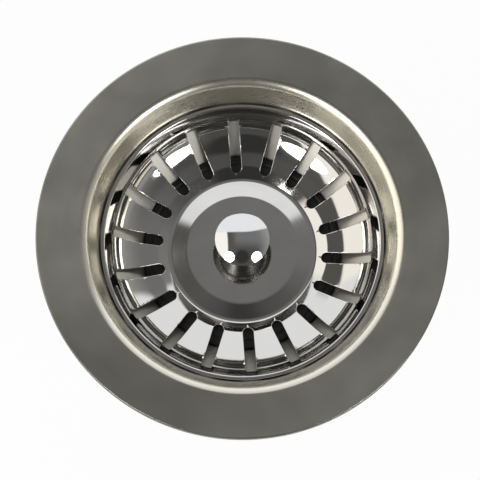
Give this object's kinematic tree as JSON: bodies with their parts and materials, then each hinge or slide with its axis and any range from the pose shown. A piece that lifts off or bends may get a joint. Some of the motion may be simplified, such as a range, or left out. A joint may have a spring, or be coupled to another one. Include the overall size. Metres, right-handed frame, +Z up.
{
  "type": "sink basket strainer",
  "caption": "Basket strainer waste for a kitchen sink: steel flange cup and slotted lift-out basket with knob and rubber seal, clamped to a plastic outlet body.",
  "frame": {"origin": "centre of the outlet's end face, on the common axis of all turned pieces", "axes": "+Z up along the common axis, from the outlet to the flange; +X and +Y are level, and one slot of the basket lies 4 degrees past +Y"},
  "size_m": [0.1142, 0.1142, 0.0761],
  "materials": {
    "flange_steel": "circular brushed flange ring, bright pressed wall",
    "basket_steel": "mirror polished slotted cone, satin middle",
    "knob_steel": "mirror polished",
    "fastener_steel": "machined",
    "insert_brass": "machined",
    "black_rubber": "matt moulded",
    "white_foam": "closed-cell foam",
    "body_plastic": "fine moulded grain",
    "washer_plastic": "smooth"
  },
  "bodies": {
    "waste": {"flange_cup": "flange_steel", "flange_seal": "white_foam", "sink_gasket": "black_rubber", "waste_body": "body_plastic", "thread_insert": "insert_brass", "clamp_screw": "fastener_steel", "screw_washer": "washer_plastic"},
    "lifter": {"knob": "knob_steel", "stem": "fastener_steel", "stem_ring": "black_rubber", "stem_nut": "fastener_steel"},
    "basket": {"strainer_basket": "basket_steel", "stopper_seal": "black_rubber", "seal_plate": "fastener_steel"}
  },
  "joints": [
    {"name": "basket_lift", "type": "slide", "parent": "waste", "child": "lifter", "axis": [0, 0, 1], "range_m": [0, 0.05]},
    {"name": "basket_turn", "type": "hinge", "parent": "lifter", "child": "basket", "pos_m": [0, 0, 0.0548], "axis": [0, 0, 1], "continuous": true}
  ]
}
